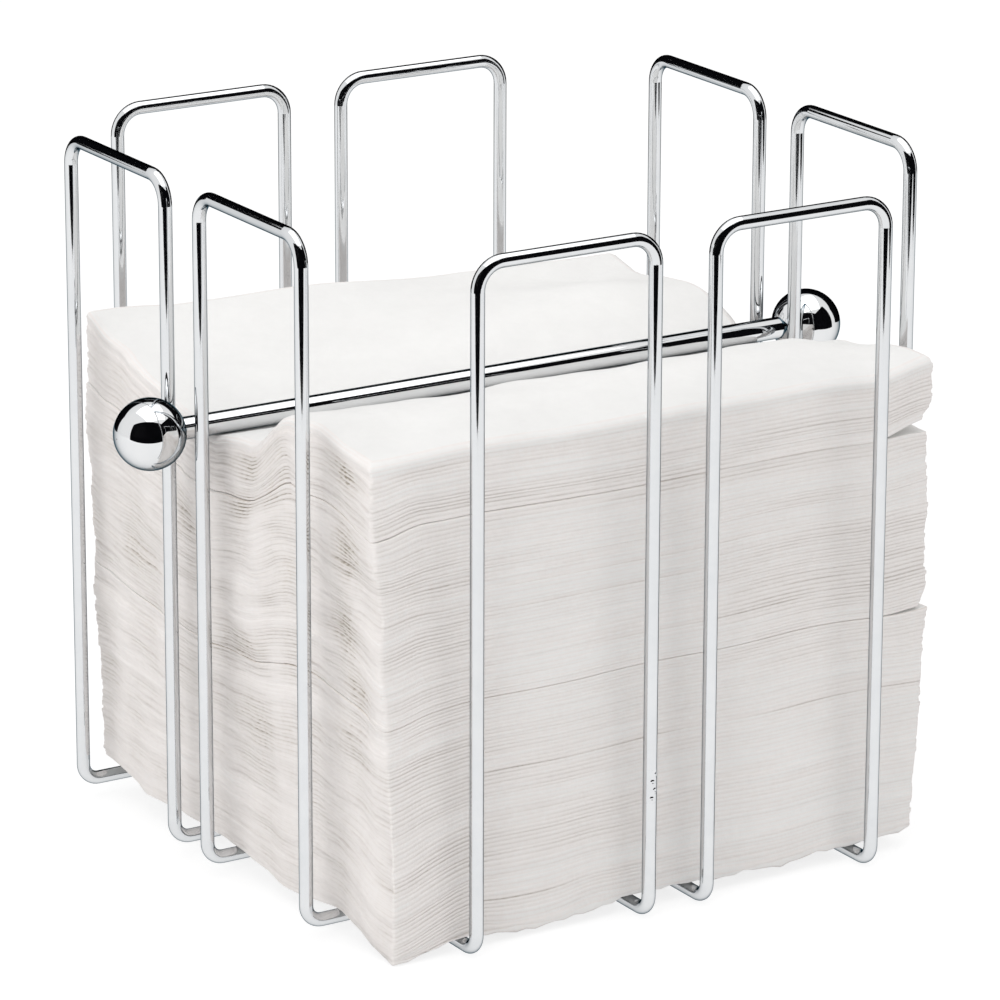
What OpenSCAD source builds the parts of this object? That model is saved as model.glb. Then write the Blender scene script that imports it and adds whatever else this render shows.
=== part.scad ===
// Napkin holder: a chromed wire cage for folded napkins, with a weight bar on the stack.
// Millimetres, +X along the front, +Y to the back, +Z up.
// The origin is on the table, below the middle of the cage.

/* [Napkins] */
// Width of a folded napkin, along the front
napkin_x = 165; // [120:1:200]
// Depth of a folded napkin, front to back
napkin_y = 152; // [110:1:190]
// Height of the bottom bundle
bottom_pack_h = 59.5; // [30:0.5:70]
// Height of the middle bundle
middle_pack_h = 49; // [25:0.5:60]
// Height of the top bundle, away from the bar
top_pack_h = 17.9; // [12:0.1:25]
// Depth of the valley that the bar presses into the stack
valley_depth = 16.5; // [6:0.5:18]
// Reach of that valley from the bar to the hump in front of it
valley_front = 54; // [25:1:60]
// Reach of that valley from the bar to the hump behind it
valley_back = 60; // [25:1:64]
// Drop of the stack's top from the humps to its front and back edges
edge_drop = 2.5; // [0.5:0.5:4]
// Distance that the stack stands to the right of the cage's middle
stack_shift_x = 1; // [-4:0.5:4]
// Distance that the stack stands in front of the cage's middle
stack_shift_y = 8; // [-10:0.5:12]
// Step to the left from each bundle to the next one up
pack_step_x = 1; // [0:0.5:3]
// Step to the back from each bundle to the next one up
pack_step_y = 2; // [0:0.5:2]

/* [Wire cage] */
// Diameter of the cage wire
wire_d = 3.6; // [3:0.1:5]
// Free room between the napkins and the wires, left and right together
room_x = 15.4; // [14:0.2:30]
// Free room between the napkins and the wires, front and back together
room_y = 31.4; // [30:0.2:50]
// Width of one loop, between the centre lines of its legs
loop_w = 52; // [34:1:56]
// Height of a loop above its own base run, on the centre line
loop_h = 180; // [165:1:230]
// Bend radius of a loop's top corners, on the centre line
top_bend_r = 7; // [5:0.5:15]
// Bend radius where a leg turns in under the stack, on the centre line
foot_bend_r = 4.5; // [4:0.5:10]
// Depth that two crossing wires sink into each other at a weld
weld_sink = 0.4; // [0.2:0.1:0.8]
// How far the rim of a weld lies inside the sides of the wires that it joins
weld_inset = 0.1; // [0.05:0.05:0.4]

/* [Weight bar] */
// Diameter of the rod
rod_d = 6; // [4:0.5:8]
// Diameter of the balls
ball_d = 19; // [17:0.5:26]
// Depth of the rod in each ball
rod_grip = 11; // [6:0.5:13]
// Free room on each side of the rod in its slot
slot_room = 4.2; // [2:0.1:5]
// Distance from a ball to the middle plane of the loops beside it
ball_room = 0.8; // [0.4:0.1:4]

/* [Hidden] */
$fn = 64;
// Gap between pieces that only lie on each other
rest_gap = 0.3;
// Room below the rod's end in a ball's bore
bore_end_room = 0.5;
// How far the stack's bend under the bar dies away with depth: 1 is evenly
valley_fade = 1.3;
// Steps along the curved top of a bundle
curve_steps = 48;
// Facets round the small welds and the wires that shape them
weld_fn = 160;
// Length added to a cutting tool so that it passes through
cut_over = 1;
chrome = [0.80, 0.81, 0.82];
polished = [0.86, 0.87, 0.88];
weld_grey = [0.62, 0.63, 0.64];
paper = [0.94, 0.93, 0.92];

cage_x = napkin_x + room_x + wire_d;
cage_y = napkin_y + room_y + wire_d;
slot_w = rod_d + wire_d + 2 * slot_room;
pair_offset = (slot_w + loop_w) / 2;
leg_places = [for (side = [-1, 1]) for (leg = [-1, 1]) side * pair_offset + leg * loop_w / 2];

weld_d = wire_d - 2 * weld_inset;

cross_z = wire_d / 2;
side_z = cross_z + wire_d - weld_sink;

stack_floor = side_z + wire_d / 2 + rest_gap;
bottom_top = stack_floor + bottom_pack_h;
middle_top = bottom_top + rest_gap + middle_pack_h;
stack_top = middle_top + rest_gap + top_pack_h;
rod_z = stack_top - valley_depth + rest_gap + rod_d / 2;
ball_x = cage_x / 2 + ball_d / 2 + ball_room;
rod_end = ball_x - ball_d / 2 + rod_grip;
stack_y = -stack_shift_y;

// How far the stack's top lies below its humps at a place along the depth
function top_dip(y) =
    let (half = y < 0 ? valley_front : valley_back)
    let (edge = napkin_y / 2 + abs(stack_y) + pack_step_y)
    let (past = max(0, abs(y) - half))
    abs(y) <= half
        ? valley_depth * (1 + cos(180 * y / half)) / 2
        : edge_drop * pow(past / (edge - half), 2);

// Height of the layer that lies at a level away from the bar
function layer_z(level, y) =
    level - top_dip(y) * pow((level - stack_floor) / (stack_top - stack_floor), valley_fade);

// The curve of a layer from front to back about its middle, as points in depth and height
function layer_curve(level, middle) =
    [for (i = [0 : curve_steps])
        let (y = middle + napkin_y * (i / curve_steps - 0.5))
        [y, layer_z(level, y)]];

function backwards(points) = [for (i = [len(points) - 1 : -1 : 0]) points[i]];

// A straight length of wire along +Z
module straight(length) {
    cylinder(d = wire_d, h = length);
}

// A quarter turn of wire that leaves the XY plane at [r, 0] and ends on the YZ plane
module quarter_bend(r) {
    rotate_extrude(angle = 90)
        translate([r, 0])
            circle(d = wire_d);
}

// One loop and the foot bends below its legs: the loop stands at x = 0 and its feet point to -X
module loop_with_feet() {
    leg_h = loop_h - foot_bend_r - top_bend_r;
    for (leg = [-1, 1])
        translate([0, leg * loop_w / 2, foot_bend_r])
            straight(leg_h);
    for (leg = [0, 1])
        mirror([0, leg, 0]) {
            translate([0, loop_w / 2 - top_bend_r, loop_h - top_bend_r])
                rotate([90, 0, 90])
                    quarter_bend(top_bend_r);
            translate([-foot_bend_r, loop_w / 2, foot_bend_r])
                rotate([-90, 0, 0])
                    quarter_bend(foot_bend_r);
        }
    translate([0, loop_w / 2 - top_bend_r, loop_h])
        rotate([90, 0, 0])
            straight(loop_w - 2 * top_bend_r);
}

// A closed wire: a loop at each end of the span, joined by two base runs along X
module closed_wire(span) {
    run = span - 2 * foot_bend_r;
    for (end = [0, 1])
        mirror([end, 0, 0])
            translate([span / 2, 0, 0])
                loop_with_feet();
    for (leg = [-1, 1])
        translate([-run / 2, leg * loop_w / 2, 0])
            rotate([0, 90, 0])
                straight(run);
}

module side_wire(side) {
    translate([0, side * pair_offset, side_z])
        closed_wire(cage_x);
}

// The side wires' base runs, as the tools that press into the cross wires
module side_runs() {
    for (y = leg_places)
        translate([-cage_x / 2, y, side_z])
            rotate([0, 90, 0])
                straight(cage_x);
}

// The cross wires' base runs
module cross_runs() {
    for (x = leg_places)
        translate([x, cage_y / 2, cross_z])
            rotate([90, 0, 0])
                straight(cage_y);
}

module cross_wire(side) {
    difference() {
        translate([side * pair_offset, 0, cross_z])
            rotate([0, 0, 90])
                closed_wire(cage_y);
        side_runs();
    }
}

module side_wire_front() {
    color(chrome)
        side_wire(-1);
}

module side_wire_back() {
    color(chrome)
        side_wire(1);
}

module cross_wire_left() {
    color(chrome)
        cross_wire(-1);
}

module cross_wire_right() {
    color(chrome)
        cross_wire(1);
}

// A ring of weld around each place where a side wire lies on a cross wire
module base_welds() {
    color(weld_grey)
        difference() {
            for (x = leg_places)
                for (y = leg_places)
                    translate([x, y, cross_z])
                        cylinder(d = weld_d, h = side_z - cross_z, $fn = weld_fn);
            side_runs($fn = weld_fn);
            cross_runs($fn = weld_fn);
        }
}

module weight_rod() {
    color(polished)
        translate([-rod_end, 0, rod_z])
            rotate([0, 90, 0])
                cylinder(d = rod_d, h = 2 * rod_end);
}

// A ball on the right-hand end of the rod, with its blind bore
module ball() {
    bore = rod_grip + bore_end_room;
    translate([ball_x, 0, rod_z])
        difference() {
            rotate([0, 90, 0])
                sphere(d = ball_d);
            translate([-ball_d / 2 - cut_over, 0, 0])
                rotate([0, 90, 0])
                    cylinder(d = rod_d, h = bore + cut_over);
        }
}

module ball_left() {
    color(polished)
        mirror([1, 0, 0])
            ball();
}

module ball_right() {
    color(polished)
        ball();
}

// A bundle of napkins between two levels, some steps up from the middle bundle
module napkin_pack(low, high, steps_up) {
    middle = stack_y + steps_up * pack_step_y;
    color(paper)
        translate([stack_shift_x - steps_up * pack_step_x - napkin_x / 2, 0, 0])
            rotate([90, 0, 90])
                linear_extrude(height = napkin_x)
                    polygon(concat(layer_curve(low, middle), backwards(layer_curve(high, middle))));
}

module napkin_pack_bottom() {
    napkin_pack(stack_floor, bottom_top, -1);
}

module napkin_pack_middle() {
    napkin_pack(bottom_top + rest_gap, middle_top, 0);
}

module napkin_pack_top() {
    napkin_pack(middle_top + rest_gap, stack_top, 1);
}

side_wire_front();
side_wire_back();
cross_wire_left();
cross_wire_right();
base_welds();
weight_rod();
ball_left();
ball_right();
napkin_pack_bottom();
napkin_pack_middle();
napkin_pack_top();
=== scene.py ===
import math
from types import SimpleNamespace

import bpy
import numpy as np
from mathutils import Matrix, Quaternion, Vector

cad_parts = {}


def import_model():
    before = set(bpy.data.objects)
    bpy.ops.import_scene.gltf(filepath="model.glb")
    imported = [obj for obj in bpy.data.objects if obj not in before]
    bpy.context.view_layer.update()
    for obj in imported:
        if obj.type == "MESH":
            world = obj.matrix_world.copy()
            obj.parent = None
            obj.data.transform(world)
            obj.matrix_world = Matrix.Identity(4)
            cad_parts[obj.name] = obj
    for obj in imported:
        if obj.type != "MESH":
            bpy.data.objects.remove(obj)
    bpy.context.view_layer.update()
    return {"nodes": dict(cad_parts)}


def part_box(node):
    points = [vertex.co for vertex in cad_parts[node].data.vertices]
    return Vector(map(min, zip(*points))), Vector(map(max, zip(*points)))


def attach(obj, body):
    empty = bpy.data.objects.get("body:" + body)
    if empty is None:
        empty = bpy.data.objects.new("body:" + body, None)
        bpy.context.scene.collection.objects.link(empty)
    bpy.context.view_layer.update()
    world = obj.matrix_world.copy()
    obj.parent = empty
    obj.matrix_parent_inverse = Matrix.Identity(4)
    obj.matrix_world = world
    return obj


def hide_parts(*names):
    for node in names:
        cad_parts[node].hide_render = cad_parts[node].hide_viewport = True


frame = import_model()

MM = 0.001

# Camera at the photograph's viewing angle
CAMERA_AZIMUTH = math.radians(-31.77)
CAMERA_ELEVATION = math.radians(17.49)
CAMERA_ROLL = math.radians(0.18)
CAMERA_DISTANCE = 1.4846
CAMERA_TARGET = Vector((2.5, -1.6, 86.5)) * MM
CAMERA_LENS = 199.55
CAMERA_SENSOR = 36.0

# Surround and floor: their light on the object, and how the floor shows to rays that see it directly
SEEING_RAYS = ("Is Camera Ray", "Is Transmission Ray", "Is Glossy Ray")
SURROUND_LIGHT = 0.62
FLOOR_GREY = 0.80
FLOOR_GLOW = 0.78
FLOOR_SHADOW_GREY = 0.30
FLOOR_DROP = 0.1 * MM

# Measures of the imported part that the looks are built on
REST_GAP = 0.3 * MM
WIRE_R = 1.8 * MM
stack_low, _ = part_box("napkin_pack_bottom")
_, stack_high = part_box("napkin_pack_top")
STACK_FLOOR = stack_low.z
STACK_TOP = stack_high.z
STACK_HEIGHT = STACK_TOP - STACK_FLOOR
rod_low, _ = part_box("weight_rod")
VALLEY_DEPTH = STACK_TOP - (rod_low.z - REST_GAP)
cross_low, cross_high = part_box("cross_wire_left")

# Places of the base runs and of the front hump from the cage's middle, and how far a run holds the paper
# beside it up, in millimetres
side_low, side_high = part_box("side_wire_front")
RUN_IN = (-side_high.y + WIRE_R) / MM
RUN_OUT = (-side_low.y - WIRE_R) / MM
RUN_REACH = 4.5
HUMP_Y = -48

# Valley under the bar
FRONT_REACH = 54 * MM
FRONT_REACH_LEFT = 43 * MM
FRONT_FLAT_LEFT = 17 * MM
FRONT_RAISE_LEFT = 3.3 * MM
FRONT_RAISE_LENGTH = 18 * MM
BACK_REACH_RIGHT = 30 * MM
BACK_SLOPE_START = 8 * MM
BACK_SLOPE_LENGTH = 70 * MM
BACK_SLOPE_ROUND = 4 * MM

# How fast the forms of the top and of the base die away with depth in the stack
VALLEY_FADE = 1.3
TOP_FADE = 2.5
BASE_FADE_HEIGHT = 60 * MM

# Heights over which the hang of the front left corner sets in and dies away
HANG_START, HANG_FADE = 4 * MM, 32 * MM
# The least share of its height that a layer keeps over what holds the stack up
LEAST_HEIGHT = 0.25

# Waves in the layers: the spread of their rates, and their size all over the stack
WAVE_SPREAD = 0.7
SLOW_WAVE = 0.32 * MM
# Along the ends of the leaves, and how much is added higher up
LEAF_WAVE, LEAF_WAVE_ABOVE = 0.25 * MM, 0.35 * MM
# In the lowest napkins, and the height over which these waves die away
LOOSE_WAVE, LOOSE_HEIGHT = 0.7 * MM, 1.4 * MM
# In the uppermost napkin
WRINKLE = 0.25 * MM

# One folded napkin, as rings up its edge
CORNER_R = 1.2 * MM
EDGE_STEP = 3 * MM
LEAF_SHARE = 0.5
# The ring at this share of a napkin gets extra painted shade in the loose clusters
PAINTED_SHADE_SHARE = 0.8
RING_SHARES = (0.0, 0.2, LEAF_SHARE, PAINTED_SHADE_SHARE)

# How much napkins differ in thickness, and how far they lie off their neighbours' place
THICKNESS_SPREAD = 0.14
THINNEST, THICKEST = 0.65, 1.5
DRIFT_X, DRIFT_Y, DRIFT_TURN = 0.13 * MM, 0.07 * MM, 0.0006
DRIFT_KEPT = 0.72

# Depths of the gaps between folds and between leaves and of the split in a napkin, and the painted shade in
# them
DEEP_GAP, DEEP_GAP_SHARE = 1.6, 0.06
FOLD_GAP = 0.24 * MM
LEAF_GAP = 0.22 * MM
LEAF_SPLIT = 0.14 * MM
INNER_NOTCH = 0.12
LOOSE_PAINTED_SHADE = 0.4
FULL_PAINTED_SHADE_GAP = 0.9 * MM

# How ragged the folds are, how much more the leaves' ends are, and the slow ripple along the left side
FOLD_RAG, LEAF_RAG = 0.04 * MM, 0.11 * MM
LEFT_RIPPLE = 0.3 * MM

# Clearances, and the edge of the uppermost bundle
PACK_GAP = 0.16 * MM
TABLE_GAP = 0.2 * MM
RUN_GAP = 0.1 * MM
TOP_EDGE_R = 2.0 * MM
BACK_IN_RIGHT = 2.6 * MM

# Places on the left where open leaves stand apart, with painted shade in their gaps, in millimetres:
# distance from the bar, height, half length, half height and depth of the gaps
LOOSE_CLUSTERS = (
    (-15, 127, 8, 3, 0.8), (-18, 114, 9, 4, 0.8), (14, 103, 4, 6, 0.8), (-18, 71, 8, 4, 0.9),
    (42, 78, 8, 7, 0.5), (-40, 92, 6, 6, 0.6), (-69, 127, 5, 3, 1.4), (-69, 106, 5, 6, 1.3),
    (-68, 85, 4, 7, 1.3), (-72, 71, 5, 3, 1.0), (-68, 58, 6, 5, 0.6), (-30, 48, 12, 7, 0.5),
)

# The bundles from the bottom up. In millimetres: how far each stands out at the left and at the right,
# at its floor and at its top, how far its lowest napkins are tucked in at the right, and how far its
# front right corner curls up. In radians: its turn at its floor and at its top.
BUNDLES = (
    SimpleNamespace(name="bottom", count=58, seed=21, out_left=(2.7, 4.2), out_right=(-6.0, -0.8),
                    turn=(0.014, 0.018), tuck=0.0, curl=0.0, topmost=False),
    SimpleNamespace(name="middle", count=48, seed=22, out_left=(2.9, 3.2), out_right=(-0.2, 0.5),
                    turn=(0.018, 0.004), tuck=2.2, curl=0.9, topmost=False),
    SimpleNamespace(name="top", count=17, seed=23, out_left=(1.7, 1.6), out_right=(3.4, 4.0),
                    turn=(-0.002, -0.008), tuck=3.5, curl=4.8, topmost=True),
)

# How far every bundle leans to the back at its floor and at its top, in millimetres
SHIFT_BACK = (-1.0, 1.0)

# The butt weld on a leg, and each bead's direction in radians and its height and size in millimetres
WELD_LOW, WELD_HIGH = 31.5 * MM, 42.0 * MM
WELD_FADE = 1.2 * MM
WELD_SUNK = 0.08 * MM
WELD_SKIN = 0.03 * MM
BEAD_HEIGHT = 0.20 * MM
BEAD_DENT = 0.45
BEADS = ((-1.85, 33.4, 0.55), (-1.35, 35.6, 0.7), (-1.75, 37.9, 0.6), (-1.2, 39.9, 0.5))


def smooth(share):
    """A soft step from 0 to 1."""
    s = np.clip(share, 0.0, 1.0)
    return s * s * (3.0 - 2.0 * s)


def past(place, start, length):
    """0 up to a start and 1 a length past it, both in millimetres."""
    return smooth((place - start * MM) / (length * MM))


def before(place, end, length):
    """0 from an end on and 1 a length before it, both in millimetres."""
    return smooth((end * MM - place) / (length * MM))


def bell(place, middle, width):
    """A bell curve about a middle, both in millimetres."""
    return np.exp(-(((place - middle * MM) / (width * MM)) ** 2))


def cosine_fall(share):
    """1 at the start and 0 at the end of a half wave."""
    return 0.5 * (1.0 + np.cos(math.pi * np.clip(share, 0.0, 1.0)))


def wave_field(seed, size_x, size_y, size_level, terms=10):
    """A smooth random field of unit strength: a sum of waves of about the given lengths in millimetres."""
    rng = np.random.default_rng(seed)
    lengths = np.array([size_x, size_y, size_level]) * MM
    rates = rng.normal(size=(terms, 3)) * 2.0 * math.pi * WAVE_SPREAD / lengths
    phases = rng.uniform(0.0, 2.0 * math.pi, terms)

    def field(x, y, level):
        total = 0.0
        for (a, b, c), phase in zip(rates, phases):
            total = total + np.sin(a * x + b * y + c * level + phase)
        return total / math.sqrt(terms / 2.0)

    return field


# Random fields: a seed, and the waves' lengths along X, along Y and up the stack
slow_wave = wave_field(11, 70, 60, 40)
leaf_wave = wave_field(12, 60, 24, 26)
rag_wave = wave_field(14, 30, 18, 2.2)
gap_wave = wave_field(15, 45, 16, 3.0)
band_wave = wave_field(16, 160, 120, 11)
wrinkle_wave = wave_field(17, 34, 24, 50)
loose_wave = wave_field(18, 15, 30, 2.5)
ripple_wave = wave_field(19, 200, 15, 50)
seam_wave = wave_field(20, 70, 50, 6)


def between_runs(place):
    """0 over a base run and 1 halfway between the two runs of one loop, for a place along an axis."""
    share = (np.abs(place) / MM - RUN_IN) / (RUN_OUT - RUN_IN)
    return np.sin(math.pi * np.clip(share, 0.0, 1.0)) ** 2


def left_part(x):
    """1 at the stack's left end, where the valley's floor is flat, and 0 further in."""
    return before(x, -64, 18)


def valley_dip(x, y):
    """How far the bar presses the stack's top down, with a long slope behind it on the left."""
    left_end = left_part(x)
    flat = FRONT_FLAT_LEFT * left_end
    front_reach = FRONT_REACH + (FRONT_REACH_LEFT - FRONT_REACH) * left_end
    front = cosine_fall((-y - flat) / (front_reach - flat))
    behind = y - BACK_SLOPE_START
    slope = 0.5 * (behind + np.sqrt(behind ** 2 + BACK_SLOPE_ROUND ** 2)) / BACK_SLOPE_LENGTH
    back_left = np.clip(1.0 - slope, 0.0, 1.0)
    back_right = cosine_fall(y / BACK_REACH_RIGHT)
    back = back_left + (back_right - back_left) * past(x, -50, 120)
    raised = FRONT_RAISE_LEFT * left_end * np.clip(-y / FRONT_RAISE_LENGTH, 0.0, 1.0)
    return np.where(y < 0, (VALLEY_DEPTH - raised) * front, VALLEY_DEPTH * back)


def top_form(x, y):
    """How far the stack's top lies below its highest level, apart from the valley."""
    beside_rod = past(np.abs(y), 1, 5) * bell(y, 0, 16)
    hug = 1.2 * MM * beside_rod * (1.0 - 0.7 * left_part(x))
    front_edge = 3.4 * MM * before(y, HUMP_Y, 46)
    right_end = 2.0 * MM * past(x, 45, 40) * past(np.abs(y), 0, 30)
    right_fall = 1.5 * MM * past(x, 64, 22) * before(y, 0, 20) * past(y, -76, 24)
    back_right = 3.0 * MM * past(x, 0, 80) * past(y, 8, 20)
    trough = 4.0 * MM * past(x, 10, 60) * bell(y, 55, 13)
    back_fall = 3.1 * MM * past(x, -45, 75) * past(y, 25, 40) * (1.0 - 0.9 * past(x, 38, 40))
    back_curl = 1.5 * MM * before(x, -55, 22) * past(y, 60, 9)
    return front_edge + right_end + right_fall + back_right + trough + back_fall - hug - back_curl


def base_sag(x, y):
    """How far the lowest layer hangs below the tops of the base runs, past and between them."""
    front_depth = 4.9 * MM - 1.6 * MM * past(x, -40, 35) - 0.9 * MM * past(x, 34, 22)
    front_depth = front_depth + 0.7 * MM * between_runs(x)
    front_depth = front_depth - 1.8 * MM * bell(x, -RUN_OUT, 9) - 1.2 * MM * bell(x, -23, 8)
    front = front_depth * before(y, -RUN_OUT, 25)
    window = np.where(y < 0, 3.4 * MM, 0.6 * MM) * between_runs(y)
    left = window * before(x, -RUN_OUT - 4, 16)
    right = 1.2 * MM * past(x, RUN_OUT + 6, 14) * between_runs(y)
    back_lift = 3.2 * MM * past(y, 36, 30) * before(x, -RUN_OUT, 20)
    return front + left + right - back_lift


def corner_droop(x, y, height):
    """How far the layers at a height over the base hang down at the front left corner."""
    corner = before(x, -54, 29) * before(y, -42, 44)
    tip = before(x, -70, 13) * before(y, -70, 13)
    off_base = 1.0 - np.exp(-height / HANG_START)
    below_top = before(height, STACK_HEIGHT / MM - 1, 6)
    hang = 5.4 * MM * np.exp(-height / HANG_FADE) * (0.1 + 0.9 * off_base)
    return corner * (0.6 * MM * off_base + hang) + tip * (0.4 * MM + 1.3 * MM * below_top * off_base)


def lowest_height(x):
    """How low a layer can hang: to the table, or to the top of a cross wire's base run."""
    outward = np.abs(x) / MM
    from_run = np.minimum(np.abs(outward - RUN_OUT), np.abs(outward - RUN_IN))
    over_run = np.exp(-((from_run / RUN_REACH) ** 4))
    return TABLE_GAP + (2.0 * WIRE_R + RUN_GAP - TABLE_GAP) * over_run


def layer_height(level, x, y):
    """Height of the layer that lies at a level away from the bar."""
    height = level - STACK_FLOOR
    share = np.clip(height / STACK_HEIGHT, 0.0, 1.0)
    low = np.clip(1.0 - height / BASE_FADE_HEIGHT, 0.0, 1.0)
    z = level - valley_dip(x, y) * share ** VALLEY_FADE - top_form(x, y) * share ** TOP_FADE
    z = z - base_sag(x, y) * low ** 2 - corner_droop(x, y, height)
    off_bar = past(np.abs(y), 0, 26) * share ** 2 + 1.0 - share ** 2
    free = past(height, 0, 16) * off_bar
    edge = past(np.abs(x), 62, 16) * (0.4 + 0.6 * before(y, 20, 40))
    leaf_size = LEAF_WAVE + LEAF_WAVE_ABOVE * past(height, 60, 40)
    z = z + free * SLOW_WAVE * slow_wave(x, y, level)
    z = z + free * edge * leaf_size * leaf_wave(x, y, level)
    loose = np.exp(-height / LOOSE_HEIGHT) * before(y, -RUN_OUT - 12, 10)
    z = z + loose * LOOSE_WAVE * loose_wave(x, y, level)
    return np.maximum(z, lowest_height(x) + LEAST_HEIGHT * height)


def bundle_height(bundle, level, x, y):
    """Height of a layer of one bundle, with the curl of its front right corner."""
    corner = past(x, 66, 20) * before(y, HUMP_Y, 34)
    return layer_height(level, x, y) + bundle.curl * MM * corner


def grid_lines(length):
    """Places of the grid lines across a napkin, closer together at its rounded corners."""
    corner = CORNER_R * np.array([0.0, 1.0, 2.0]) / 3.0
    count = round((length - 2.0 * CORNER_R) / EDGE_STEP) + 1
    inner = np.linspace(CORNER_R, length - CORNER_R, count)
    return np.concatenate([corner, inner, length - corner[::-1]])


def outline_side(lines, start, along, out):
    """Places and outward normals down one side, from its first corner to just before its second."""
    length = lines[-1]
    reach = np.minimum(lines, length - lines)
    turn = 0.25 * math.pi * np.clip(1.0 - reach / CORNER_R, 0.0, 1.0)
    first = lines < 0.5 * length
    step = np.where(reach < CORNER_R, CORNER_R * (1.0 - np.sin(turn)), reach)
    step = np.where(first, step, length - step)
    inset = CORNER_R * (1.0 - np.cos(turn))
    lean = np.where(first, -np.sin(turn), np.sin(turn))
    along, out = np.array(along), np.array(out)
    places = np.array(start) + step[:, None] * along - inset[:, None] * out
    normals = lean[:, None] * along + np.cos(turn)[:, None] * out
    return places[:-1], normals[:-1]


def napkin_outline(lines_x, lines_y):
    """The edge of a napkin about its middle, anticlockwise from its front left corner."""
    half_x, half_y = lines_x[-1] / 2.0, lines_y[-1] / 2.0
    sides = [
        outline_side(lines_x, (-half_x, -half_y), (1, 0), (0, -1)),
        outline_side(lines_y, (half_x, -half_y), (0, 1), (1, 0)),
        outline_side(lines_x, (half_x, half_y), (-1, 0), (0, 1)),
        outline_side(lines_y, (-half_x, half_y), (0, -1), (-1, 0)),
    ]
    places = np.concatenate([side[0] for side in sides])
    normals = np.concatenate([side[1] for side in sides])
    return places, normals


def fill_outline(edge, lines_x, lines_y):
    """A grid of places inside an edge, blended from its four sides."""
    nx, ny = len(lines_x) - 1, len(lines_y) - 1
    front = edge[: nx + 1]
    right = edge[nx : nx + ny + 1]
    back = edge[nx + ny : 2 * nx + ny + 1][::-1]
    left = np.concatenate([edge[2 * nx + ny :], edge[:1]])[::-1]
    u = (lines_x / lines_x[-1])[:, None, None]
    v = (lines_y / lines_y[-1])[None, :, None]
    across = (1 - u) * left[None] + u * right[None]
    along = (1 - v) * front[:, None] + v * back[:, None]
    low = (1 - u) * front[0] + u * front[-1]
    high = (1 - u) * back[0] + u * back[-1]
    return across + along - ((1 - v) * low + v * high)


def cap_faces(edge_start, inner_start, nx, ny, upward):
    """Quads of a cap whose border is a ring and whose inside is its own grid of points."""
    number = np.zeros((nx + 1, ny + 1), int)
    ring = edge_start + np.arange(2 * (nx + ny))
    number[:, 0] = ring[: nx + 1]
    number[nx, :] = ring[nx : nx + ny + 1]
    number[:, ny] = ring[nx + ny : 2 * nx + ny + 1][::-1]
    number[0, 1:ny] = ring[2 * nx + ny + 1 :][::-1]
    number[1:nx, 1:ny] = inner_start + np.arange((nx - 1) * (ny - 1)).reshape(nx - 1, ny - 1)
    corners = [number[:-1, :-1], number[1:, :-1], number[1:, 1:], number[:-1, 1:]]
    if not upward:
        corners.reverse()
    return np.stack([c.ravel() for c in corners], axis=1)


def wall_faces(rings, points):
    """Quads between rings of points that lie one above the other."""
    number = np.arange(rings * points).reshape(rings, points)
    beside = np.roll(number, -1, axis=1)
    corners = [number[:-1], beside[:-1], beside[1:], number[1:]]
    return np.stack([c.ravel() for c in corners], axis=1)


def add_mesh(name, points, faces, material):
    """A smooth-shaded mesh object in the scene."""
    mesh = bpy.data.meshes.new(name)
    mesh.from_pydata(points.tolist(), [], faces)
    mesh.shade_smooth()
    mesh.materials.append(material)
    piece = bpy.data.objects.new(name, mesh)
    bpy.context.scene.collection.objects.link(piece)
    return piece


def drift(rng, count, size):
    """A slow random walk that stays near zero: how far each napkin lies off its neighbours' place."""
    places = np.zeros(count)
    for i in range(1, count):
        places[i] = DRIFT_KEPT * places[i - 1] + size * rng.normal()
    return places - places.mean()


def loose_gaps(y, level):
    """Extra depth of the gaps on the left, where the open leaves stand apart in small clusters, which also
    deepens their painted shade.
    """
    total = 0.0
    for place, height, wide, tall, depth in LOOSE_CLUSTERS:
        total = total + depth * MM * bell(y, place, wide) * bell(level, height, tall)
    return total


def rib_strength(x, level):
    """How clearly the folds show across the front: in bands, where the paper is packed less tightly."""
    top = past(level, 108, 12)
    right_band = past(x, 5, 40) * bell(level, 86, 20)
    left_end = before(x, -42, 26)
    low_left = before(x, 20, 50) * bell(level, 34, 15)
    return np.minimum(0.3 + 0.6 * top + 0.75 * right_band + 0.6 * left_end + 0.45 * low_left, 1.1)


def corner_calm(x, y):
    """1 along the faces, and less at the front left corner, where the folds close up."""
    from_left = np.maximum(x - stack_low.x, 0.0)
    from_front = np.maximum(y - stack_low.y, 0.0)
    return 1.0 - 0.25 * bell(from_left, 0, 4) * bell(from_front, 0, 5)


def napkin_rings(floor, top, count, seed):
    """The rings up the edge of a bundle, four to a napkin: level, share of the bundle and offsets."""
    rng = np.random.default_rng(seed)
    thickness = np.clip(1.0 + THICKNESS_SPREAD * rng.normal(size=count), THINNEST, THICKEST)
    levels = floor + (top - floor) * np.concatenate([[0.0], np.cumsum(thickness)]) / thickness.sum()
    off_x = drift(rng, count, DRIFT_X)
    off_y = drift(rng, count, DRIFT_Y)
    turn = drift(rng, count, DRIFT_TURN)
    deep = np.where(rng.uniform(size=count + 1) < DEEP_GAP_SHARE, DEEP_GAP, 1.0)
    napkin = np.append(np.repeat(np.arange(count), len(RING_SHARES)), count - 1)
    share = np.append(np.tile(RING_SHARES, count), 1.0)
    below = np.where(share == 0.0, np.maximum(napkin - 1, 0), napkin)
    level = levels[napkin] + share * (levels[napkin + 1] - levels[napkin])
    gap_number = np.where(share == 1.0, count, napkin)
    columns = {
        "level": level,
        "own": 0.5 * (levels[napkin] + levels[napkin + 1]),
        "share": share,
        "height": (level - floor) / (top - floor),
        "off_x": 0.5 * (off_x[napkin] + off_x[below]),
        "off_y": 0.5 * (off_y[napkin] + off_y[below]),
        "turn": turn[napkin],
        "deep": deep[gap_number],
    }
    upright = {name: column[:, None] for name, column in columns.items()}
    return SimpleNamespace(floor=floor, top=top, **upright)


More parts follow.
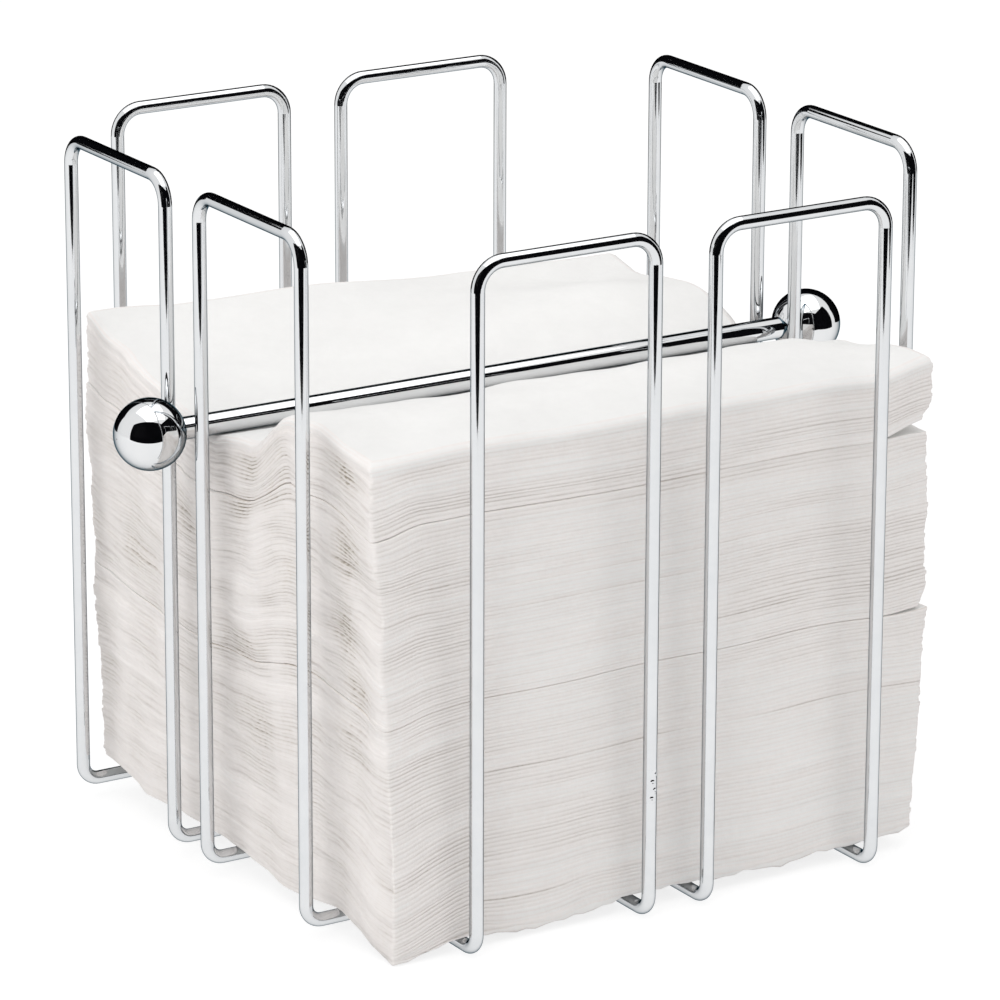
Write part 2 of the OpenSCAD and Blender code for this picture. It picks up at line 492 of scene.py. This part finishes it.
def ring_places(bundle, rings, places, middle):
    """Where the edges lie in plan, as the bundle stands out, leans and turns up its height."""
    def at_height(ends):
        return ends[0] + (ends[1] - ends[0]) * rings.height

    to_right = 0.5 * (1.0 + places[:, 0] / places[:, 0].max())
    out = to_right * at_height(bundle.out_right) - (1.0 - to_right) * at_height(bundle.out_left)
    x = places[:, 0] + out * MM
    y = places[:, 1] + at_height(SHIFT_BACK) * MM
    turn = rings.turn + at_height(bundle.turn)
    return middle.x + x - turn * y + rings.off_x, middle.y + y + turn * x + rings.off_y


def edge_depths(bundle, rings, x, y, side, left):
    """Depth of the gaps between napkins and of the split in each, and extra painted shade in the loose
    clusters.
    """
    band = np.clip(1.0 + 0.28 * band_wave(x, y, rings.level), 0.45, 1.5)
    uneven = np.clip(0.95 + 0.25 * gap_wave(x, y, rings.level), 0.4, 1.6)
    ribs = side + (1.0 - side) * rib_strength(x, rings.level)
    ribs = ribs + (rings.deep - 1.0) * smooth(0.55 + 0.5 * seam_wave(x, y, rings.level))
    apart = left * loose_gaps(y, rings.level)
    depth = (FOLD_GAP * (1.0 - side) + LEAF_GAP * side) * band * uneven * ribs
    depth = (depth + apart) * corner_calm(x, y)
    if bundle.topmost:
        depth = depth * (1.0 - 0.9 * past(rings.level, rings.top / MM - 6, 4))
    between = (rings.share == 0.0) | (rings.share == 1.0)
    notch = np.where(between, 1.0, INNER_NOTCH) * depth
    split = np.where(rings.share == LEAF_SHARE, LEAF_SPLIT, 0.0) * side
    # Extra painted shade under the loose leaves, on one ring of each napkin
    shade = np.where(rings.share == PAINTED_SHADE_SHARE, LOOSE_PAINTED_SHADE, 0.0) * apart
    return notch, split, shade


def soften_top(rings, x, y, middle, half):
    """Round the top edge of the uppermost bundle, and draw its right side in towards the back."""
    up = np.clip((rings.level - rings.top + TOP_EDGE_R) / TOP_EDGE_R, 0.0, 1.0)
    rounding = TOP_EDGE_R * (1.0 - np.sqrt(1.0 - up ** 2))
    x = x - (x - middle.x) * rounding / half.x
    y = y - (y - middle.y) * rounding / half.y
    to_right = smooth(0.5 + 0.5 * (x - middle.x) / half.x)
    return x - BACK_IN_RIGHT * to_right * past(y, -10, 50), y


def bundle_edge(bundle, rings, outline, middle, half):
    """The places of a bundle's edge in plan, and how much shade is painted into its gaps."""
    places, normals = outline
    x, y = ring_places(bundle, rings, places, middle)
    side = normals[:, 0] ** 2
    left = np.clip(-normals[:, 0], 0.0, 1.0) ** 2
    notch, split, shade = edge_depths(bundle, rings, x, y, side, left)
    ripple = ripple_wave(x, y, rings.level)
    notch = notch * np.clip(1.0 - 0.45 * left * ripple, 0.35, 2.0)
    rag = (FOLD_RAG + LEAF_RAG * side) * rag_wave(x, y, rings.own) + LEFT_RIPPLE * left * ripple
    offset = rag - notch - split
    x = x + normals[:, 0] * offset
    y = y + normals[:, 1] * offset
    if bundle.topmost:
        x, y = soften_top(rings, x, y, middle, half)
    right_end = (middle.x + half.x) / MM
    lowest = bell(rings.level, rings.floor / MM, 3.5)
    x = x - bundle.tuck * MM * lowest * past(x, right_end - 20, 20)
    # The shade painted into the colour grows with the depth of the gaps
    return x, y, np.clip((notch + 0.5 * split + shade) / FULL_PAINTED_SHADE_GAP, 0.0, 1.0)


def wrinkles(x, y, middle, half):
    """Faint wrinkles in the uppermost napkin, away from its edges and the bar."""
    from_edge = np.minimum(half.x - np.abs(x - middle.x), half.y - np.abs(y - middle.y))
    clear = past(np.abs(y), 5, 16) * past(from_edge, 3, 14)
    return clear * WRINKLE * wrinkle_wave(x, y, 0.0)


def napkin_pack(bundle, floor, material):
    """A bundle of napkins as one closed skin, with a fold or a row of open leaves for each napkin."""
    low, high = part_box(f"napkin_pack_{bundle.name}")
    middle, half = (low + high) / 2.0, (high - low) / 2.0
    lines_x, lines_y = grid_lines(high.x - low.x), grid_lines(high.y - low.y)
    rings = napkin_rings(floor, high.z, bundle.count, bundle.seed)
    x, y, shade = bundle_edge(bundle, rings, napkin_outline(lines_x, lines_y), middle, half)
    parts = [np.stack([x, y, bundle_height(bundle, rings.level, x, y)], axis=2).reshape(-1, 3)]
    faces = wall_faces(*x.shape).tolist()
    painted_shades = [shade.ravel()]
    for ring, upward in ((0, False), (len(x) - 1, True)):
        start = sum(len(part) for part in parts)
        border = np.stack([x[ring], y[ring]], axis=1)
        inside = fill_outline(border, lines_x, lines_y)[1:-1, 1:-1].reshape(-1, 2)
        inside_z = bundle_height(bundle, rings.level[ring], inside[:, 0], inside[:, 1])
        if upward and bundle.topmost:
            inside_z = inside_z + wrinkles(inside[:, 0], inside[:, 1], middle, half)
        parts.append(np.column_stack([inside, inside_z]))
        faces += cap_faces(ring * x.shape[1], start, len(lines_x) - 1, len(lines_y) - 1, upward).tolist()
        painted_shades.append(np.zeros(len(inside)))
    piece = add_mesh(f"napkins_{bundle.name}", np.concatenate(parts), faces, material)
    # Painted shade for the gaps, stored on the points for the paper's colour
    attribute = piece.data.attributes.new("painted_shade_amount", "FLOAT", "POINT")
    attribute.data.foreach_set("value", np.concatenate(painted_shades).astype(np.float32))
    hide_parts(f"napkin_pack_{bundle.name}")
    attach(piece, f"{bundle.name}_pack")


def new_material(name):
    """A material with its nodes, its links and its main shader."""
    material = bpy.data.materials.new(name)
    material.use_nodes = True
    nodes = material.node_tree.nodes
    return material, nodes, material.node_tree.links, nodes["Principled BSDF"]


def noise(nodes, links, coords, scale, detail, rough=0.5):
    """Cloudy noise in object coordinates, where the scale is in clouds to a metre."""
    texture = nodes.new("ShaderNodeTexNoise")
    texture.inputs["Scale"].default_value = scale
    texture.inputs["Detail"].default_value = detail
    texture.inputs["Roughness"].default_value = rough
    links.new(coords, texture.inputs["Vector"])
    return texture.outputs["Fac"]


def ramp(nodes, links, factor, stops):
    """Colours at the places of a factor."""
    node = nodes.new("ShaderNodeValToRGB")
    elements = node.color_ramp.elements
    while len(elements) < len(stops):
        elements.new(1.0)
    for element, (place, colour) in zip(elements, stops):
        element.position = place
        element.color = (*colour, 1.0)
    links.new(factor, node.inputs["Fac"])
    return node.outputs["Color"]


def bump(nodes, links, height, strength, distance, normal=None):
    """A normal that follows a height, on top of another normal if there is one."""
    node = nodes.new("ShaderNodeBump")
    node.inputs["Strength"].default_value = strength
    node.inputs["Distance"].default_value = distance
    links.new(height, node.inputs["Height"])
    if normal is not None:
        links.new(normal, node.inputs["Normal"])
    return node.outputs["Normal"]


def value_range(nodes, links, factor, low, high):
    """A factor of 0 to 1 as a value between two others."""
    node = nodes.new("ShaderNodeMapRange")
    node.inputs["To Min"].default_value = low
    node.inputs["To Max"].default_value = high
    links.new(factor, node.inputs["Value"])
    return node.outputs["Result"]


def chrome(name, bright, dark, smoothest, roughest, wobble):
    """Plated wire: a mirror with slow waves in it, a little haze and darker grazing edges."""
    material, nodes, links, shader = new_material(name)
    coords = nodes.new("ShaderNodeTexCoord").outputs["Object"]
    shader.inputs["Metallic"].default_value = 1.0
    shader.inputs["Specular Tint"].default_value = (0.0, 0.05, 0.08, 1.0)
    haze = noise(nodes, links, coords, scale=140.0, detail=5.0, rough=0.6)
    links.new(ramp(nodes, links, haze, [(0.25, dark), (0.75, bright)]), shader.inputs["Base Color"])
    links.new(value_range(nodes, links, haze, smoothest, roughest), shader.inputs["Roughness"])
    slow = noise(nodes, links, coords, scale=90.0, detail=2.0)
    links.new(bump(nodes, links, slow, wobble, 0.2 * MM), shader.inputs["Normal"])
    return material


def painted_gap_shade(nodes, links, coords):
    """How much painted warm shade shows in the gaps between leaves, frayed along their edges."""
    painted_shade_amount = nodes.new("ShaderNodeAttribute")
    painted_shade_amount.attribute_name = "painted_shade_amount"
    fray = noise(nodes, links, coords, scale=650.0, detail=2.0)
    shown = nodes.new("ShaderNodeMath")
    shown.operation = "MULTIPLY"
    links.new(painted_shade_amount.outputs["Fac"], shown.inputs[0])
    links.new(value_range(nodes, links, fray, -0.2, 2.2), shown.inputs[1])
    return shown.outputs["Value"]


def paper():
    """Soft crepe tissue: fine fibres, faint clouding, painted warm shade in the gaps between leaves and a
    faint painted pink on the sides.
    """
    material, nodes, links, shader = new_material("paper")
    coords = nodes.new("ShaderNodeTexCoord").outputs["Object"]
    shader.inputs["Roughness"].default_value = 0.92
    shader.inputs["Specular IOR Level"].default_value = 0.2
    cloud = noise(nodes, links, coords, scale=45.0, detail=9.0, rough=0.78)
    white = ramp(nodes, links, cloud, [(0.3, (0.87, 0.863, 0.85)), (0.7, (0.925, 0.918, 0.905))])
    # Painted shade: warm and darker as the gaps between leaves deepen
    painted_shade_stops = [
        (0.0, (1.0, 1.0, 1.0)),
        # Painted light: a faint pink on the sides, where light among the leaves warms them
        (0.02, (1.0, 0.965, 0.955)),
        (0.5, (0.87, 0.82, 0.78)),
        (1.0, (0.46, 0.40, 0.33)),
    ]
    painted_shade_colour = ramp(nodes, links, painted_gap_shade(nodes, links, coords), painted_shade_stops)
    shaded = nodes.new("ShaderNodeMix")
    shaded.data_type = "RGBA"
    shaded.blend_type = "MULTIPLY"
    shaded.inputs["Factor"].default_value = 1.0
    links.new(white, shaded.inputs["A"])
    links.new(painted_shade_colour, shaded.inputs["B"])
    links.new(shaded.outputs["Result"], shader.inputs["Base Color"])
    crepe = noise(nodes, links, coords, scale=520.0, detail=6.0, rough=0.65)
    fibres = noise(nodes, links, coords, scale=2200.0, detail=3.0, rough=0.6)
    soft = bump(nodes, links, crepe, 0.8, 0.14 * MM)
    links.new(bump(nodes, links, fibres, 0.5, 0.05 * MM, soft), shader.inputs["Normal"])
    return material


def weld_mark(material):
    """The butt weld that closes the left cross wire, as a row of small dented beads on its front leg."""
    leg_x = cross_high.x - WIRE_R
    leg_y = cross_low.y + WIRE_R
    rows, columns = 70, 64
    angle = np.linspace(0.0, 2.0 * math.pi, columns, endpoint=False)[None, :]
    height = np.linspace(WELD_LOW, WELD_HIGH, rows)[:, None]
    skin = np.full((rows, columns), WELD_SKIN)
    for bead_angle, bead_height, size in BEADS:
        around = WIRE_R * ((angle - bead_angle + math.pi) % (2.0 * math.pi) - math.pi)
        distance = np.sqrt(around ** 2 + (height - bead_height * MM) ** 2) / (size * MM)
        skin = skin + BEAD_HEIGHT * (np.exp(-(distance ** 4)) - np.exp(-((distance / BEAD_DENT) ** 2)))
    fade = smooth((height - WELD_LOW) / WELD_FADE) * smooth((WELD_HIGH - height) / WELD_FADE)
    radius = WIRE_R - WELD_SUNK + (skin + WELD_SUNK) * fade
    x = leg_x + radius * np.cos(angle)
    y = leg_y + radius * np.sin(angle)
    z = np.broadcast_to(height, x.shape)
    points = np.stack([x, y, z], axis=2).reshape(-1, 3)
    first_ring = list(range(columns))
    ends = [first_ring[::-1], [(rows - 1) * columns + i for i in first_ring]]
    piece = add_mesh("butt_weld_mark", points, wall_faces(rows, columns).tolist() + ends, material)
    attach(piece, "cage")


def add_camera():
    """The camera, at the photograph's viewing angle."""
    back = Vector((
        math.sin(CAMERA_AZIMUTH) * math.cos(CAMERA_ELEVATION),
        -math.cos(CAMERA_AZIMUTH) * math.cos(CAMERA_ELEVATION),
        math.sin(CAMERA_ELEVATION),
    ))
    data = bpy.data.cameras.new("camera")
    data.sensor_width = CAMERA_SENSOR
    data.lens = CAMERA_LENS
    data.clip_start, data.clip_end = 0.05, 60.0
    camera = bpy.data.objects.new("camera", data)
    camera.location = CAMERA_TARGET + back * CAMERA_DISTANCE
    camera.rotation_mode = "QUATERNION"
    camera.rotation_quaternion = back.to_track_quat("Z", "Y") @ Quaternion((0, 0, 1), CAMERA_ROLL)
    bpy.context.scene.collection.objects.link(camera)
    bpy.context.scene.camera = camera


def seen_directly(nodes, links):
    """1 for the rays that see the background itself, and 0 for those that it only lights."""
    path = nodes.new("ShaderNodeLightPath")
    total = path.outputs[SEEING_RAYS[0]]
    for ray in SEEING_RAYS[1:]:
        larger = nodes.new("ShaderNodeMath")
        larger.operation = "MAXIMUM"
        links.new(total, larger.inputs[0])
        links.new(path.outputs[ray], larger.inputs[1])
        total = larger.outputs["Value"]
    return total


def white_world():
    """A white surround that lights the object at a plain level."""
    world = bpy.data.worlds.new("surround")
    bpy.context.scene.world = world
    world.use_nodes = True
    nodes, links = world.node_tree.nodes, world.node_tree.links
    shader = nodes["Background"]
    shader.inputs["Color"].default_value = (1.0, 1.0, 1.0, 1.0)
    strength = value_range(nodes, links, seen_directly(nodes, links), SURROUND_LIGHT, 1.0)
    links.new(strength, shader.inputs["Strength"])


def diffuse(nodes, grey):
    """A plain matt grey."""
    node = nodes.new("ShaderNodeBsdfDiffuse")
    node.inputs["Color"].default_value = (grey, grey, grey, 1.0)
    return node.outputs["BSDF"]


def floor_material():
    """White paper that shows as white, also in the metal, and keeps a soft shadow."""
    material, nodes, links, plain = new_material("floor")
    nodes.remove(plain)
    glow = nodes.new("ShaderNodeEmission")
    glow.inputs["Strength"].default_value = FLOOR_GLOW
    seen = nodes.new("ShaderNodeAddShader")
    links.new(diffuse(nodes, FLOOR_SHADOW_GREY), seen.inputs[0])
    links.new(glow.outputs["Emission"], seen.inputs[1])
    mix = nodes.new("ShaderNodeMixShader")
    links.new(seen_directly(nodes, links), mix.inputs["Fac"])
    links.new(diffuse(nodes, FLOOR_GREY), mix.inputs[1])
    links.new(seen.outputs["Shader"], mix.inputs[2])
    links.new(mix.outputs["Shader"], nodes["Material Output"].inputs["Surface"])
    return material


def add_floor():
    """A wide floor just below the wires."""
    half = 8.0
    corners = ((-half, -half), (half, -half), (half, half), (-half, half))
    points = np.array([(x, y, -FLOOR_DROP) for x, y in corners])
    add_mesh("floor", points, [[0, 1, 2, 3]], floor_material())


def dark_card(name, turn, distance, left, right, high):
    """A dark flag on the floor, turned from the camera's side, that only the metal's reflections see."""
    material, _, _, shader = new_material(name)
    shader.inputs["Base Color"].default_value = (0.004, 0.004, 0.005, 1.0)
    shader.inputs["Roughness"].default_value = 1.0
    shader.inputs["Specular IOR Level"].default_value = 0.0
    azimuth = CAMERA_AZIMUTH + math.radians(turn)
    axis = np.array([math.sin(azimuth), -math.cos(azimuth)])
    across = np.array([math.cos(azimuth), math.sin(azimuth)])
    ends = [axis * distance + across * left, axis * distance + across * right]
    points = np.array([(*ends[0], 0.0), (*ends[1], 0.0), (*ends[1], high), (*ends[0], high)])
    card = add_mesh(name, points, [[0, 1, 2, 3]], material)
    card.visible_camera = False
    card.visible_diffuse = False
    card.visible_transmission = False
    card.visible_shadow = False


def soft_light(name, place, aim, size, energy, mirrored=True):
    """A square soft box, which shows in the metal only if it is mirrored."""
    data = bpy.data.lights.new(name, "AREA")
    data.shape = "SQUARE"
    data.size = size
    data.energy = energy
    light = bpy.data.objects.new(name, data)
    light.location = place
    light.rotation_mode = "QUATERNION"
    light.rotation_quaternion = (Vector(place) - Vector(aim)).to_track_quat("Z", "Y")
    light.visible_glossy = mirrored
    bpy.context.scene.collection.objects.link(light)


def add_stage():
    """The white surround and floor, the soft lights and the dark cards."""
    bpy.context.scene.view_settings.view_transform = "Standard"
    white_world()
    add_floor()
    stack = (0.0, 0.0, 0.08)
    soft_light("overhead_box", (0.1, -0.16, 2.0), (0.1, -0.16, 0.1), size=2.2, energy=16.8)
    soft_light("side_box", (-1.35, -0.6, 0.70), stack, size=1.0, energy=5.0)
    soft_light("left_fill", (-1.5, 0.3, 0.42), stack, size=0.8, energy=2.2, mirrored=False)
    soft_light("front_fill", (0.8, -1.4, 0.38), stack, size=0.8, energy=1.2, mirrored=False)
    dark_card("front_flag", turn=0.0, distance=0.575, left=-1.0, right=1.0, high=0.86)
    dark_card("right_flag", turn=75.0, distance=0.72, left=-0.45, right=0.30, high=0.86)
    dark_card("back_flag", turn=180.0, distance=0.56, left=-1.4, right=1.2, high=0.72)


def dress_metal():
    """Chrome on the wires, the welds and the weight bar, and the mark of a butt weld."""
    wire = chrome("chrome_wire", bright=(0.745, 0.755, 0.765), dark=(0.69, 0.705, 0.72),
                  smoothest=0.02, roughest=0.07, wobble=0.05)
    polished = chrome("chrome_bar", bright=(0.77, 0.775, 0.78), dark=(0.73, 0.74, 0.75),
                      smoothest=0.012, roughest=0.04, wobble=0.02)
    weld = chrome("chrome_weld", bright=(0.66, 0.67, 0.68), dark=(0.52, 0.53, 0.55),
                  smoothest=0.18, roughest=0.38, wobble=0.3)
    finish = {"base_welds": weld, "weight_rod": polished, "ball_left": polished, "ball_right": polished}
    for name, node in frame["nodes"].items():
        if name.startswith("napkin"):
            continue
        node.data.materials.clear()
        node.data.materials.append(finish.get(name, wire))
        node.data.shade_smooth()
    weld_mark(wire)


def fill_cage():
    """The three bundles of napkins, each on the one below."""
    tissue = paper()
    floor = STACK_FLOOR
    for bundle in BUNDLES:
        _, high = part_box(f"napkin_pack_{bundle.name}")
        napkin_pack(bundle, floor, tissue)
        floor = high.z + PACK_GAP


add_camera()
add_stage()
dress_metal()
fill_cage()
